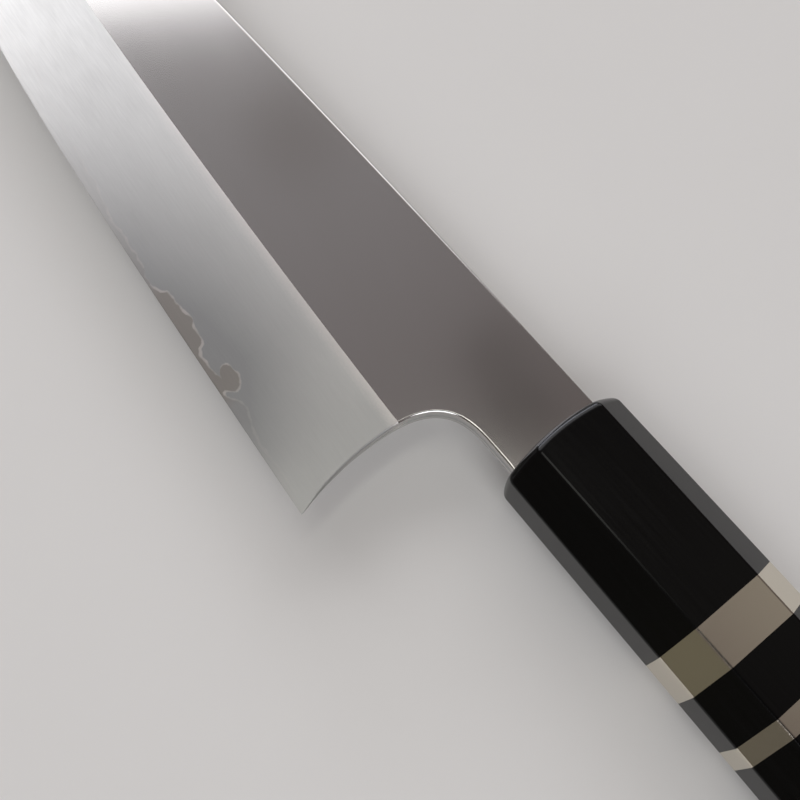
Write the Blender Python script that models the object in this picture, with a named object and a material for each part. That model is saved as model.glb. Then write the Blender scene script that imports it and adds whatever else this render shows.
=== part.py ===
"""A gyuto, the Japanese chef's knife: a blade of three forge welded layers in a stacked octagonal handle.

Every function works in the knife's own coordinates. X runs from the ferrule's front face towards
the butt, Y from the handle's axis towards the spine, and Z from the middle of the blade's
thickness towards its left side. The empty knife_frame then lays the knife on its side, so that
the part's origin is under the middle of its bounding box.
"""

import math

import bmesh
import bpy

MM = 0.001

# Gaps between the solids
SEAT_GAP = 0.3 * MM
WELD_GAP = 0.05 * MM

# The blade's outline
BLADE_LENGTH = 210.0 * MM
HEEL_GAP = 13.2 * MM
HEEL_HEIGHT = 46.7 * MM
SPINE_HEIGHT = 8.64 * MM
SPINE_DROP = 6.8 * MM
SPINE_POWER = 2.25
EDGE_SLOPE = 0.067
BELLY_POWER = 3.64

# The ridge line between the polished flat and the bevel, as a share of the blade's height
RIDGE_SHARE_HEEL = 0.433
RIDGE_SHARE_TIP = 0.62
RIDGE_POWER = 1.77

# The choil behind the heel, which is deepest at the throat, and the neck
THROAT_GAP = 15.75 * MM
THROAT_RISE = 15.1 * MM
NECK_HEIGHT = 17.3 * MM
NECK_STRAIGHT = 3.8 * MM
HEEL_SWEEP_POWER = 1.85
THROAT_FULLNESS = 2.9

# Thicknesses: of the whole blade, and the core's share of it
SPINE_THICKNESS = 3.2 * MM
TIP_THICKNESS = 0.9 * MM
FLAT_TAPER = 0.002
BEVEL_CROWN = 0.05 * MM
CORE_SHARE = 0.3
TANG_THINNING = 0.35

# The easing of the spine, the choil and the neck: a narrow slope that spares the fingers
EDGE_EASE = 0.5 * MM
EASE_MOST_DEPTH = 0.6
EASE_MOST_INSET = 0.4

# The wavy line above the edge where the core comes out from under the cladding
CORE_HEIGHT = 2.2 * MM
CORE_WAVE = 0.7 * MM
CORE_WAVE_LENGTH = 34.0 * MM
CORE_LEDGE = 0.25 * MM
CORE_MOST_SHARE = 0.35

# The tang
NECK_SEAT = 3.5 * MM
SHOULDER_RUN = 1.8 * MM
TANG_LENGTH = 88.0 * MM
TANG_FRONT_HEIGHT = 8.8 * MM
TANG_END_HEIGHT = 4.4 * MM

# The handle's octagon, front and butt
HANDLE_LENGTH = 137.0 * MM
FRONT_HEIGHT = 22.1 * MM
FRONT_WIDTH = 17.5 * MM
FRONT_CORNER = 4.9 * MM
BUTT_HEIGHT = 24.0 * MM
BUTT_WIDTH = 19.5 * MM
BUTT_CORNER = 6.2 * MM

# The stack, from the front
FERRULE_LENGTH = 35.2 * MM
WIDE_RING_LENGTH = 6.9 * MM
SPACER_LENGTH = 8.5 * MM
NARROW_RING_LENGTH = 3.1 * MM
RIM_ROUND = 1.2 * MM
DOME_RADIUS = 35.0 * MM
DOME_CAP_SHARE = 0.75
BUTT_ROUND = 1.0 * MM
FERRULE_WALL = 6.0 * MM

# The dowel inside the stack, and the seal in front of it
DOWEL_DIAMETER = 13.0 * MM
DOWEL_END_WOOD = 12.0 * MM
SEAL_LENGTH = 5.5 * MM

# How finely the curves are cut
BLADE_STATIONS = 34
THROAT_STEPS = 12
TANG_STEPS = 5
ROUND_STEPS = 4
DOME_STEPS = 3
DOME_SIDE_STEPS = 4
DOWEL_SIDES = 32

HEEL_X = -HEEL_GAP
THROAT_X = -THROAT_GAP
TIP_X = HEEL_X - BLADE_LENGTH
HEEL_Y = SPINE_HEIGHT - HEEL_HEIGHT
THROAT_Y = HEEL_Y + THROAT_RISE
TIP_Y = SPINE_HEIGHT - SPINE_DROP
NECK_BOTTOM_Y = SPINE_HEIGHT - NECK_HEIGHT
WIDE_RING_X = FERRULE_LENGTH
SPACER_X = WIDE_RING_X + WIDE_RING_LENGTH
NARROW_RING_X = SPACER_X + SPACER_LENGTH
BODY_X = NARROW_RING_X + NARROW_RING_LENGTH
DOWEL_X = FERRULE_WALL + SEAL_LENGTH + 2 * SEAT_GAP
DOWEL_END_X = TANG_LENGTH + DOWEL_END_WOOD
BORE_RADIUS = DOWEL_DIAMETER / 2 + SEAT_GAP

# The blade's rows of points, from the edge to the spine
BEVEL_ROWS = ("edge", "line", "ledge", "feather", "lower", "middle")
FLAT_ROWS = ("ridge", "low_ease", "flat", "high_ease", "spine")
ROWS = BEVEL_ROWS + FLAT_ROWS


def clear_scene():
    for obj in list(bpy.data.objects):
        bpy.data.objects.remove(obj, do_unlink=True)


def mix(a, b, share):
    return a + (b - a) * share


def make_material(name, colour, roughness, metallic):
    material = bpy.data.materials.new(name)
    material.use_nodes = True
    shader = material.node_tree.nodes["Principled BSDF"]
    shader.inputs["Base Color"].default_value = (*colour, 1.0)
    shader.inputs["Roughness"].default_value = roughness
    shader.inputs["Metallic"].default_value = metallic
    material.diffuse_color = (*colour, 1.0)
    return material


def add_object(name, mesh_data, parent, material=None, x=0.0):
    """Links a mesh object under the knife's frame, with its own origin on the axis at x."""
    obj = bpy.data.objects.new(name, mesh_data)
    bpy.context.scene.collection.objects.link(obj)
    obj.location = (x, 0.0, 0.0)
    obj.parent = parent
    if material is not None:
        mesh_data.materials.append(material)
    return obj


def mesh_from(name, points, faces):
    """A mesh with its faces turned outwards."""
    shape = bmesh.new()
    corners = [shape.verts.new(point) for point in points]
    for face in faces:
        shape.faces.new([corners[index] for index in face])
    bmesh.ops.recalc_face_normals(shape, faces=shape.faces)
    bmesh.ops.triangulate(shape, faces=shape.faces)
    data = bpy.data.meshes.new(name)
    shape.to_mesh(data)
    shape.free()
    return data


def cut(obj, cutter):
    """Takes the cutter's shape out of the object. The cutter itself isn't part of the knife."""
    boolean = obj.modifiers.new("cut_" + cutter.name, "BOOLEAN")
    boolean.operation = "DIFFERENCE"
    boolean.solver = "EXACT"
    boolean.object = cutter
    cutter.hide_render = True
    cutter.display_type = "WIRE"


def spine_y(x):
    """The spine runs level with the handle and drops in a long curve to the tip."""
    return SPINE_HEIGHT - SPINE_DROP * max(x / TIP_X, 0.0) ** SPINE_POWER


def blade_run(x):
    """How far x lies along the blade: 0 at the heel, 1 at the tip."""
    return max((HEEL_X - x) / BLADE_LENGTH, 0.0)


def edge_y(x):
    """The edge is almost straight at the heel and sweeps up to the tip."""
    run = blade_run(x)
    straight = EDGE_SLOPE * BLADE_LENGTH
    return HEEL_Y + straight * run + (TIP_Y - HEEL_Y - straight) * run**BELLY_POWER


def ridge_y(x):
    share = mix(RIDGE_SHARE_HEEL, RIDGE_SHARE_TIP, blade_run(x) ** RIDGE_POWER)
    return mix(edge_y(x), spine_y(x), share)


def choil_x(y):
    """The choil sweeps back from the heel to the throat, and then rounds forward into the neck."""
    if y < THROAT_Y:
        return mix(THROAT_X, HEEL_X, ((THROAT_Y - y) / THROAT_RISE) ** HEEL_SWEEP_POWER)
    upwards = min((y - THROAT_Y) / (NECK_BOTTOM_Y - THROAT_Y), 1.0)
    return mix(-NECK_STRAIGHT, THROAT_X, (1 - upwards**THROAT_FULLNESS) ** (1 / THROAT_FULLNESS))


def half_thickness(x, y):
    """Half of the blade's thickness on the flat, which is a true plane as far as the handle."""
    front = SPINE_THICKNESS / 2
    if x > 0:
        return front * (1 - TANG_THINNING * x / TANG_LENGTH)
    return mix(front, TIP_THICKNESS / 2, x / TIP_X) - FLAT_TAPER * (SPINE_HEIGHT - y)


def line_share(x):
    """Where the core's wavy line lies on the bevel, from 0 at the edge to 1 at the ridge."""
    phase = math.tau * (HEEL_X - x) / CORE_WAVE_LENGTH
    height = CORE_HEIGHT + CORE_WAVE * (math.sin(phase) + 0.5 * math.sin(2.3 * phase))
    return min(height / (ridge_y(x) - edge_y(x)), CORE_MOST_SHARE)


def bevel_share(row, x):
    ledge = CORE_LEDGE / (ridge_y(x) - edge_y(x))
    line = line_share(x)
    feather = line + 2 * ledge
    lower = mix(feather, 1.0, 0.25)
    middle = mix(feather, 1.0, 0.55)
    return dict(zip(BEVEL_ROWS, (0.0, line, line + ledge, feather, lower, middle)))[row]


def bevel_surface(x, share):
    """The bevel's half thickness: a straight wedge with a slight crown."""
    wedge = half_thickness(x, ridge_y(x)) * share
    return wedge + BEVEL_CROWN * 4 * share * (1 - share)


def weld_surface(x, share):
    """The middle of the weld between core and cladding under the bevel."""
    line = line_share(x)
    start = bevel_surface(x, line)
    end = CORE_SHARE * half_thickness(x, ridge_y(x))
    return mix(start, end, (share - line) / (1 - line))


def eased(skin, weld):
    """The skin's height on an eased outline, which never reaches the weld."""
    return skin - min(EDGE_EASE, EASE_MOST_DEPTH * (skin - weld))


def bevel_point(along, row, on_outline):
    """A point of the bevel: its place, and the heights of the blade's skin and of the weld."""
    x = mix(TIP_X, THROAT_X, along)
    share = bevel_share(row, x)
    x = mix(TIP_X, choil_x(mix(HEEL_Y, ridge_y(THROAT_X), share)), along)
    share = bevel_share(row, x)
    y = mix(edge_y(x), ridge_y(x), share)
    skin = bevel_surface(x, share)
    weld = skin if row in ("edge", "line") else weld_surface(x, share)
    if on_outline:
        skin = eased(skin, weld)
    return x, y, skin, weld


def flat_column(low, high, outline_rows):
    """The flat's points from its lower to its upper end, which are (x, y) places.

    outline_rows names the rows that lie on an eased outline. A row beside each starts its slope.
    """
    inset = min(EDGE_EASE / math.dist(low, high), EASE_MOST_INSET)
    shares = dict(zip(FLAT_ROWS, (0.0, inset, 0.5, 1.0 - inset, 1.0)))
    if "ridge" not in outline_rows:
        del shares["low_ease"]
    column = {}
    for row, share in shares.items():
        x = mix(low[0], high[0], share)
        y = mix(low[1], high[1], share)
        skin = half_thickness(x, y)
        weld = CORE_SHARE * skin
        column[row] = (x, y, eased(skin, weld) if row in outline_rows else skin, weld)
    return column


def blade_columns():
    """Columns of points from the tip to the heel, each from the edge to the spine.

    The first column is lowered as a whole, so that the blade thins to its tip. The last one is the
    choil, and the one before it starts the choil's easing.
    """
    stations = [math.sin(n / BLADE_STATIONS * math.pi / 2) ** 1.3 for n in range(1, BLADE_STATIONS - 1)]
    stations += [1.0 - EDGE_EASE / (THROAT_X - TIP_X), 1.0]
    columns = []
    for along in stations:
        x = mix(TIP_X, choil_x(ridge_y(THROAT_X)), along)
        on_outline = along in (stations[0], stations[-1])
        outline_rows = {stations[0]: ROWS, stations[-1]: ("ridge", "spine")}.get(along, ("spine",))
        column = {row: bevel_point(along, row, on_outline) for row in BEVEL_ROWS}
        column.update(flat_column((x, ridge_y(x)), (x, spine_y(x)), outline_rows))
        columns.append(column)
    return columns


def throat_columns():
    """Columns over the round from the end of the ridge line to the neck."""
    ridge_end = (ridge_y(THROAT_X) - THROAT_Y) / (NECK_BOTTOM_Y - THROAT_Y)
    first_angle = math.asin(ridge_end ** (THROAT_FULLNESS / 2))
    columns = []
    for step in range(1, THROAT_STEPS + 1):
        angle = mix(first_angle, math.pi / 2, step / THROAT_STEPS)
        y_low = mix(THROAT_Y, NECK_BOTTOM_Y, math.sin(angle) ** (2 / THROAT_FULLNESS))
        x_high = mix(choil_x(ridge_y(THROAT_X)), -NECK_STRAIGHT, step / THROAT_STEPS)
        columns.append(flat_column((choil_x(y_low), y_low), (x_high, spine_y(x_high)), ("ridge", "spine")))
    return columns


def tang_half_height(x):
    share = (x - NECK_SEAT - SHOULDER_RUN) / (TANG_LENGTH - NECK_SEAT - SHOULDER_RUN)
    return mix(TANG_FRONT_HEIGHT, TANG_END_HEIGHT, share) / 2


def tang_columns():
    """Columns over the neck's seat in the ferrule, its shoulders and the tang."""
    ends = [(x, NECK_BOTTOM_Y, SPINE_HEIGHT) for x in (0.0, NECK_SEAT)]
    for step in range(TANG_STEPS + 1):
        x = mix(NECK_SEAT + SHOULDER_RUN, TANG_LENGTH, step / TANG_STEPS)
        ends.append((x, -tang_half_height(x), tang_half_height(x)))
    return [flat_column((x, y_low), (x, y_high), ("ridge", "spine")) for x, y_low, y_high in ends]


def grid_faces(columns):
    """Faces between neighbouring columns, from the lowest row that both have up to the spine.

    They are quads, and triangles where only one of the two columns has a row.
    """
    faces = []
    for column, (here, beside) in enumerate(zip(columns[:-1], columns[1:])):
        lowest = min(ROWS.index(row) for row in ROWS if row in here and row in beside)
        low_here = None
        low_beside = None
        for row in ROWS[lowest:]:
            high_here = (column, row) if row in here else low_here
            high_beside = (column + 1, row) if row in beside else low_beside
            corners = tuple(dict.fromkeys((low_here, low_beside, high_beside, high_here)))
            if low_here and len(corners) > 2:
                faces.append(corners)
            low_here = high_here
            low_beside = high_beside
    return faces


def solid_between(name, sheet, faces):
    """A closed solid between two sheets over one plan.

    sheet maps a key to (x, y, upper z, lower z), and the two sheets share a point where these
    heights are equal. faces are tuples of keys, and every edge that one face alone has gets a wall.
    """
    points = []
    upper = {}
    lower = {}
    used = sorted({key for face in faces for key in face}, key=str)
    for key in used:
        x, y, z_upper, z_lower = sheet[key]
        upper[key] = len(points)
        points.append((x, y, z_upper))
        lower[key] = upper[key]
        if z_upper - z_lower > 1e-9:
            lower[key] = len(points)
            points.append((x, y, z_lower))
    solid_faces = []
    sides = {}
    for face in faces:
        solid_faces.append([upper[key] for key in face])
        solid_faces.append([lower[key] for key in reversed(face)])
        for start, end in zip(face, face[1:] + face[:1]):
            sides[(start, end)] = True
    for start, end in sides:
        if (end, start) in sides:
            continue
        wall = [upper[end], upper[start], lower[start], lower[end]]
        wall = [corner for index, corner in enumerate(wall) if corner not in wall[:index]]
        if len(wall) > 2:
            solid_faces.append(wall)
    return mesh_from(name, points, solid_faces)


def blade_plan():
    """The plan of the whole blade and tang: its points by column and row, and its faces."""
    columns = blade_columns() + throat_columns() + tang_columns()
    points = {(column, row): point for column, rows in enumerate(columns) for row, point in rows.items()}
    return points, grid_faces(columns)


def core_mesh():
    """The core: the whole edge and tip, and a thin sheet between the claddings."""
    points, faces = blade_plan()
    sheet = {}
    for key, (x, y, skin, weld) in points.items():
        half = skin if key[1] in ("edge", "line") else weld - WELD_GAP
        sheet[key] = (x, y, half, -half)
    sheet["tip"] = (TIP_X, TIP_Y, 0.0, 0.0)
    first_rows = [row for row in ROWS if (0, row) in points]
    for row, row_above in zip(first_rows[:-1], first_rows[1:]):
        faces.append(("tip", (0, row), (0, row_above)))
    return solid_between("core_steel_blade", sheet, faces)


def cladding_mesh(name, side):
    """One cladding: a skin from its feathered lower border to the spine, and along the tang."""
    points, faces = blade_plan()
    sheet = {}
    for key, (x, y, skin, weld) in points.items():
        if key[1] == "feather":
            weld = skin
        sheet[key] = (x, y, max(side * skin, side * weld), min(side * skin, side * weld))
    kept_rows = ROWS[ROWS.index("feather"):]
    kept = [face for face in faces if all(row in kept_rows for _, row in face)]
    return solid_between(name, sheet, kept)


def octagon(x, inset=0.0):
    """The handle's eight corners at x, with every side moved in by the inset."""
    along = x / HANDLE_LENGTH
    half_height = mix(FRONT_HEIGHT, BUTT_HEIGHT, along) / 2 - inset
    half_width = mix(FRONT_WIDTH, BUTT_WIDTH, along) / 2 - inset
    corner = mix(FRONT_CORNER, BUTT_CORNER, along) - inset * (2 - math.sqrt(2))
    quarter = [(half_height, half_width - corner), (half_height - corner, half_width)]
    half = quarter + [(-y, z) for y, z in reversed(quarter)]
    return half + [(-y, -z) for y, z in half]


def split_sides(corners, steps):
    """The same outline with each side cut into equal steps."""
    points = []
    for (y, z), (y_after, z_after) in zip(corners, corners[1:] + corners[:1]):
        points += [(mix(y, y_after, n / steps), mix(z, z_after, n / steps)) for n in range(steps)]
    return points


def loft(name, rings):
    """A solid through rings of points with as many corners each, closed by flat ends."""
    sides = len(rings[0])
    points = [point for ring in rings for point in ring]
    faces = [list(range(sides))]
    faces.append([len(points) - sides + corner for corner in range(sides)])
    for ring in range(len(rings) - 1):
        for corner in range(sides):
            after = (corner + 1) % sides
            low = ring * sides
            high = low + sides
            faces.append([low + corner, low + after, high + after, high + corner])
    return mesh_from(name, points, faces)


def rim_stations(radius):
    """A round rim's stations, from the end to the side: the distance from the end, and the inset."""
    turns = [step / ROUND_STEPS * math.pi / 2 for step in range(ROUND_STEPS + 1)]
    return [(radius * (1 - math.sin(turn)), radius * (1 - math.cos(turn))) for turn in reversed(turns)]


def handle_piece(name, x_start, x_end, material, parent, back_round=0.0):
    """A length of the tapered octagon. Its back rim is rounded over where it is bare."""
    stations = [(x_start, 0.0)]
    if back_round > 0:
        stations += [(x_end - depth, inset) for depth, inset in reversed(rim_stations(back_round))]
    else:
        stations.append((x_end, 0.0))
    rings = [[(x - x_start, y, z) for y, z in octagon(x, inset)] for x, inset in stations]
    return add_object(name, loft(name, rings), parent, material, x_start)


def domed_mesh(name, x_end):
    """The ferrule before it is cut: a shallow domed front, a round rim and the tapered octagon."""
    cap_inset = DOME_CAP_SHARE * FRONT_WIDTH / 2
    dome_insets = [mix(cap_inset, RIM_ROUND, step / DOME_STEPS) for step in range(DOME_STEPS)]
    stations = [(0.0, inset) for inset in dome_insets] + rim_stations(RIM_ROUND)
    rings = []
    for x, inset in stations:
        outline = split_sides(octagon(x, inset), DOME_SIDE_STEPS)
        rings.append([(x + (y * y + z * z) / (2 * DOME_RADIUS), y, z) for y, z in outline])
    rings.append([(x_end, y, z) for y, z in split_sides(octagon(x_end), DOME_SIDE_STEPS)])
    return loft(name, rings)


def box_section(x, half_height, half_width, middle_y=0.0):
    return [
        (x, middle_y + half_height, half_width),
        (x, middle_y - half_height, half_width),
        (x, middle_y - half_height, -half_width),
        (x, middle_y + half_height, -half_width),
    ]


def round_section(x, radius):
    turns = [math.tau * side / DOWEL_SIDES for side in range(DOWEL_SIDES)]
    return [(x, radius * math.cos(turn), radius * math.sin(turn)) for turn in turns]


def bore_cutter(name, x_start, x_end, parent):
    """The round bore for the dowel, between two places along the handle."""
    rings = [round_section(x_start, BORE_RADIUS), round_section(x_end, BORE_RADIUS)]
    return add_object(name, loft(name, rings), parent)


def slot_cutter(name, x_start, x_end, parent):
    """The tapered slot that the tang fits with a gap all round."""
    rings = []
    for x in (x_start, x_end):
        half_height = tang_half_height(x) + SEAT_GAP
        half_width = half_thickness(x, 0.0) + SEAT_GAP
        rings.append(box_section(x, half_height, half_width))
    return add_object(name, loft(name, rings), parent)


def neck_cutter(name, parent):
    """The slot in the ferrule's front wall, as high as the neck."""
    middle = (SPINE_HEIGHT + NECK_BOTTOM_Y) / 2
    half_height = NECK_HEIGHT / 2 + SEAT_GAP
    half_width = SPINE_THICKNESS / 2 + SEAT_GAP
    rings = [box_section(x, half_height, half_width, middle) for x in (-RIM_ROUND, FERRULE_WALL + RIM_ROUND)]
    return add_object(name, loft(name, rings), parent)


def make_blade(parent):
    core_steel = make_material("core_steel", (0.27, 0.26, 0.24), 0.34, 1.0)
    left_steel = make_material("left_cladding_steel", (0.40, 0.39, 0.37), 0.2, 1.0)
    right_steel = make_material("right_cladding_steel", (0.40, 0.39, 0.37), 0.2, 1.0)
    add_object("core_steel_blade", core_mesh(), parent, core_steel)
    add_object("left_cladding", cladding_mesh("left_cladding", 1), parent, left_steel)
    add_object("right_cladding", cladding_mesh("right_cladding", -1), parent, right_steel)


def make_ferrule(parent):
    ebony = make_material("ferrule_ebony", (0.006, 0.006, 0.007), 0.22, 0.0)
    shape = domed_mesh("ferrule", FERRULE_LENGTH - SEAT_GAP / 2)
    ferrule = add_object("ferrule", shape, parent, ebony)
    cut(ferrule, neck_cutter("neck_slot", parent))
    cut(ferrule, bore_cutter("ferrule_bore", FERRULE_WALL, FERRULE_LENGTH + RIM_ROUND, parent))


def make_ring(name, x_start, length, colour, roughness, metallic, parent):
    """A ring or spacer of the stack, threaded on the dowel."""
    material = make_material(name + "_material", colour, roughness, metallic)
    start = x_start + SEAT_GAP / 2
    end = x_start + length - SEAT_GAP / 2
    ring = handle_piece(name, start, end, material, parent)
    cut(ring, bore_cutter(name + "_bore", x_start - RIM_ROUND, x_start + length + RIM_ROUND, parent))


def make_body(parent):
    ebony = make_material("body_ebony", (0.006, 0.006, 0.006), 0.24, 0.0)
    start = BODY_X + SEAT_GAP / 2
    body = handle_piece("handle_body", start, HANDLE_LENGTH, ebony, parent, back_round=BUTT_ROUND)
    cut(body, bore_cutter("body_bore", BODY_X - RIM_ROUND, DOWEL_END_X + SEAT_GAP, parent))


def make_dowel(parent):
    wood = make_material("dowel_wood", (0.45, 0.32, 0.18), 0.6, 0.0)
    rings = [round_section(x, DOWEL_DIAMETER / 2) for x in (DOWEL_X, DOWEL_END_X)]
    dowel = add_object("handle_dowel", loft("handle_dowel", rings), parent, wood)
    cut(dowel, slot_cutter("dowel_slot", DOWEL_X - SEAL_LENGTH / 2, TANG_LENGTH + SEAT_GAP, parent))


def make_seal(parent):
    resin = make_material("seal_resin", (0.05, 0.035, 0.02), 0.4, 0.0)
    start = FERRULE_WALL + SEAT_GAP
    rings = [round_section(x, DOWEL_DIAMETER / 2) for x in (start, start + SEAL_LENGTH)]
    seal = add_object("tang_seal", loft("tang_seal", rings), parent, resin)
    cut(seal, slot_cutter("seal_slot", NECK_SEAT + SHOULDER_RUN, DOWEL_X + SEAL_LENGTH / 2, parent))


def main():
    clear_scene()
    frame = bpy.data.objects.new("knife_frame", None)
    bpy.context.scene.collection.objects.link(frame)
    highest_y = max(SPINE_HEIGHT, FRONT_HEIGHT / 2, octagon(HANDLE_LENGTH - BUTT_ROUND)[0][0])
    lowest_z = -octagon(HANDLE_LENGTH - BUTT_ROUND)[1][1]
    middle_x = (TIP_X + HANDLE_LENGTH) / 2
    frame.location = (-middle_x, -(HEEL_Y + highest_y) / 2, -lowest_z)
    make_blade(frame)
    make_ferrule(frame)
    nickel_silver = (0.50, 0.45, 0.38)
    black = (0.006, 0.006, 0.007)
    make_ring("wide_ring", WIDE_RING_X, WIDE_RING_LENGTH, nickel_silver, 0.25, 1.0, frame)
    make_ring("ring_spacer", SPACER_X, SPACER_LENGTH, black, 0.22, 0.0, frame)
    make_ring("narrow_ring", NARROW_RING_X, NARROW_RING_LENGTH, nickel_silver, 0.25, 1.0, frame)
    make_body(frame)
    make_dowel(frame)
    make_seal(frame)


main()
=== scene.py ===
# %% [markdown]
# # A gyuto on a pale table
#
# This lesson dresses a Japanese chef's knife. A measured model of it comes from a packed folder,
# with every piece at its real size and place. We keep those sizes, and build the fine surfaces that
# the eye notices: the polished flat, the ridge line, the hazy bevel with its wavy line of weld,
# the eased spine and choil, and an octagonal handle with metal rings.

# %% Load the measured model
import math

import bpy
import numpy as np
from mathutils import Matrix, Vector
from mathutils.geometry import delaunay_2d_cdt
from mathutils.kdtree import KDTree

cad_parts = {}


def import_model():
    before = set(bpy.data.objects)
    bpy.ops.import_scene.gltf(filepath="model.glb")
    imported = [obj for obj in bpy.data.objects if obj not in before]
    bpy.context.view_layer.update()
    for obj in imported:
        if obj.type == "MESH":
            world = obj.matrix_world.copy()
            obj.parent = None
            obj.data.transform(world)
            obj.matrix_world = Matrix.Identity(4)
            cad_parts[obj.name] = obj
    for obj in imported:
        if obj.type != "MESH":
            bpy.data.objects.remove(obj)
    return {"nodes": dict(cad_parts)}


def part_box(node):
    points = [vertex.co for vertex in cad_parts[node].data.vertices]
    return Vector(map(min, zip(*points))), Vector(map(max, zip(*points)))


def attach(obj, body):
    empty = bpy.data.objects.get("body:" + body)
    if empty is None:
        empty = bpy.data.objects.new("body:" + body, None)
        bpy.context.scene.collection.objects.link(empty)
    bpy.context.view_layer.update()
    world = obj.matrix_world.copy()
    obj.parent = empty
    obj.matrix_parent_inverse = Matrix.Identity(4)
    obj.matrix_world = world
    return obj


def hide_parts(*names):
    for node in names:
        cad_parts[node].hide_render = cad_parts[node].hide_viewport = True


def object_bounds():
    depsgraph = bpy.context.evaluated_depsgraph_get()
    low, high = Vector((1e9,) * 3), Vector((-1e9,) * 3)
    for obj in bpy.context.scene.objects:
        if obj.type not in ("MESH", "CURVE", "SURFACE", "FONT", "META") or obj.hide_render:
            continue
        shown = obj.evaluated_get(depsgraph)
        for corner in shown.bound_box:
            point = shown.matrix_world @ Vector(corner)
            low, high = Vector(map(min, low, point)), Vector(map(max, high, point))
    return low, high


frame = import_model()
cad_low, cad_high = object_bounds()
print("nodes:", ", ".join(sorted(frame["nodes"])))

# %% [markdown]
# ## The knife's own coordinates
#
# A bladesmith measures a knife from where the blade enters the handle. We do the same, in
# millimetres: X runs from the ferrule's front face to the butt, Y from the handle's axis to the
# spine, and Z from the middle of the blade to its left side. One function turns such a place into
# the model's metres, and the model's boxes say where that starting point lies.

# %% Knife coordinates
MM = 0.001
body_low, body_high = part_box("handle_body")
core_low, core_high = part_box("core_steel_blade")
front_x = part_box("ferrule")[0][0]
START = Vector((front_x, (body_low[1] + body_high[1]) / 2, (core_low[2] + core_high[2]) / 2))


def world(x, y, z):
    return START + Vector((x, y, z)) * MM


def from_start(value, axis):
    """A world coordinate as millimetres along one of the knife's axes."""
    return (value - START[axis]) / MM


def mix(a, b, share):
    return a + (b - a) * share


def add_object(name, data):
    made = bpy.data.objects.new(name, data)
    bpy.context.scene.collection.objects.link(made)
    return made


TIP_X = from_start(core_low[0], 0)
HEEL_Y = from_start(core_low[1], 1)
BUTT_X = from_start(body_high[0], 0)
print(f"tip at {TIP_X:.1f}, heel {HEEL_Y:.1f} below the axis, butt at {BUTT_X:.1f} mm")

# %% [markdown]
# ## Camera
#
# The photograph was taken from about 17 centimetres away, with a normal lens, 22 degrees off
# square to the blade's side. The camera is placed in knife coordinates, looks at a point on the
# blade, and is rolled so that the tip points to the upper left.

# %% Camera
CAMERA_PLACE = (27.0, -58.5, 154.1)
CAMERA_LOOKS_AT = (-18.9, -14.8, 0.0)
CAMERA_UP = (-0.73423, 0.56366, 0.37842)
FOCAL_PIXELS = 1061.3
IMAGE_PIXELS = 800
SENSOR_MM = 36.0
CLIP_START = 0.01


def add_camera():
    place = world(*CAMERA_PLACE)
    distance = (place - world(*CAMERA_LOOKS_AT)).length
    back = (place - world(*CAMERA_LOOKS_AT)) / distance
    right = Vector(CAMERA_UP).cross(back).normalized()
    up = back.cross(right)
    data = bpy.data.cameras.new("camera")
    data.sensor_width = SENSOR_MM
    data.lens = SENSOR_MM * FOCAL_PIXELS / IMAGE_PIXELS
    data.clip_start = CLIP_START
    camera = add_object("camera", data)
    turn = Matrix((right, up, back)).transposed().to_4x4()
    camera.matrix_world = Matrix.Translation(place) @ turn
    bpy.context.scene.camera = camera
    print(f"camera {distance:.3f} m away, lens {data.lens:.1f} mm")


add_camera()

# %% [markdown]
# ## Meshes with exact shading
#
# Polished metal shows every fault of a mesh's shading. Blender's smooth shading averages the
# faces round a corner, which bends a flat that should be true. So this small class keeps, with
# each face, the direction that each of its corners is shaded in. It also turns every face
# outwards, by comparing it with those directions. A finished shape becomes a piece that stands for
# one node of the measured model.

# %% Shape builder


class Shape:
    """Collects points in knife coordinates, faces, and the shading direction of each face corner."""

    def __init__(self):
        self.points = []
        self.faces = []
        self.directions = []
        self.slots = []

    def add_point(self, point):
        self.points.append(tuple(point))
        return len(self.points) - 1

    def add_face(self, corners, directions, slot=0):
        a, b, c = (Vector(self.points[corners[i]]) for i in (0, 1, 2))
        facing = (b - a).cross(c - a)
        if facing.dot(sum((Vector(d) for d in directions), Vector())) < 0:
            corners = corners[::-1]
            directions = directions[::-1]
        self.faces.append(list(corners))
        self.directions.extend(tuple(d) for d in directions)
        self.slots.append(slot)

    def finish(self, name, materials, node, layers=None):
        """Makes the piece. layers holds values that a material reads, one for each point."""
        data = bpy.data.meshes.new(name)
        data.from_pydata([world(*p) for p in self.points], [], self.faces, shade_flat=False)
        data.polygons.foreach_set("material_index", self.slots)
        for layer, values in (layers or {}).items():
            attribute = data.attributes.new(layer, "FLOAT", "POINT")
            attribute.data.foreach_set("value", values)
        data.normals_split_custom_set(self.directions)
        for material in materials:
            data.materials.append(material)
        piece = add_object(name, data)
        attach(piece, "root")
        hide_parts(node)
        print(f"{name}: {len(self.points)} points, {len(self.faces)} faces")


# %% [markdown]
# ## The blade's outline and thickness
#
# The outline follows a few measured curves. The spine is level at the handle and falls slowly to
# the tip. The edge is nearly straight behind the heel and sweeps up in the belly. The ridge line
# divides the polished flat from the bevel, as a share of the blade's height. The choil behind the
# heel sweeps back to the throat, its deepest point, and rounds over into the neck.
#
# Each formula takes single numbers or whole numpy arrays.

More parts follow.
